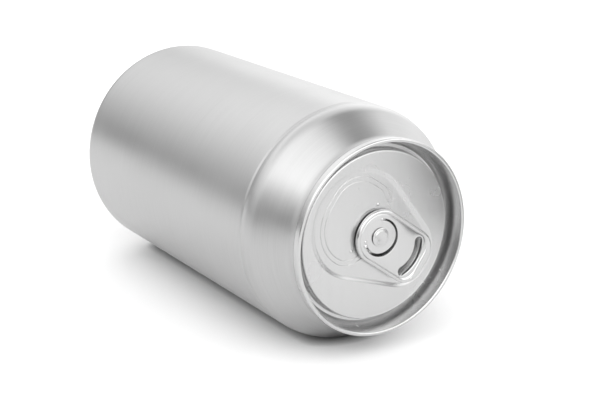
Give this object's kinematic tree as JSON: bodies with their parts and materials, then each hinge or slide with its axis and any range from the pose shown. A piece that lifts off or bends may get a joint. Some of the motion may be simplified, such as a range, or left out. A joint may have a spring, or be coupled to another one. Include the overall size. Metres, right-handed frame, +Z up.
{
  "type": "drinks can",
  "caption": "Plain unprinted aluminium drinks can, shut and full, lying on its side, with a necked body, domed base, seamed end and pull tab.",
  "frame": {"origin": "on the surface the can lies on, midway along its length, straight below its axis", "axes": "+Y along the can from its end with the tab to its domed base, +X to the right facing the end, +Z up"},
  "size_m": [0.0662, 0.1222, 0.066],
  "materials": {
    "body_metal": "drawn and ironed, fine brushed grain round the can",
    "end_metal": "stamped sheet, satin",
    "tab_metal": "stamped sheet with curled edges, satin"
  },
  "bodies": {
    "root": {"can_body": "body_metal", "can_end": "end_metal", "pull_tab": "tab_metal"}
  },
  "joints": []
}
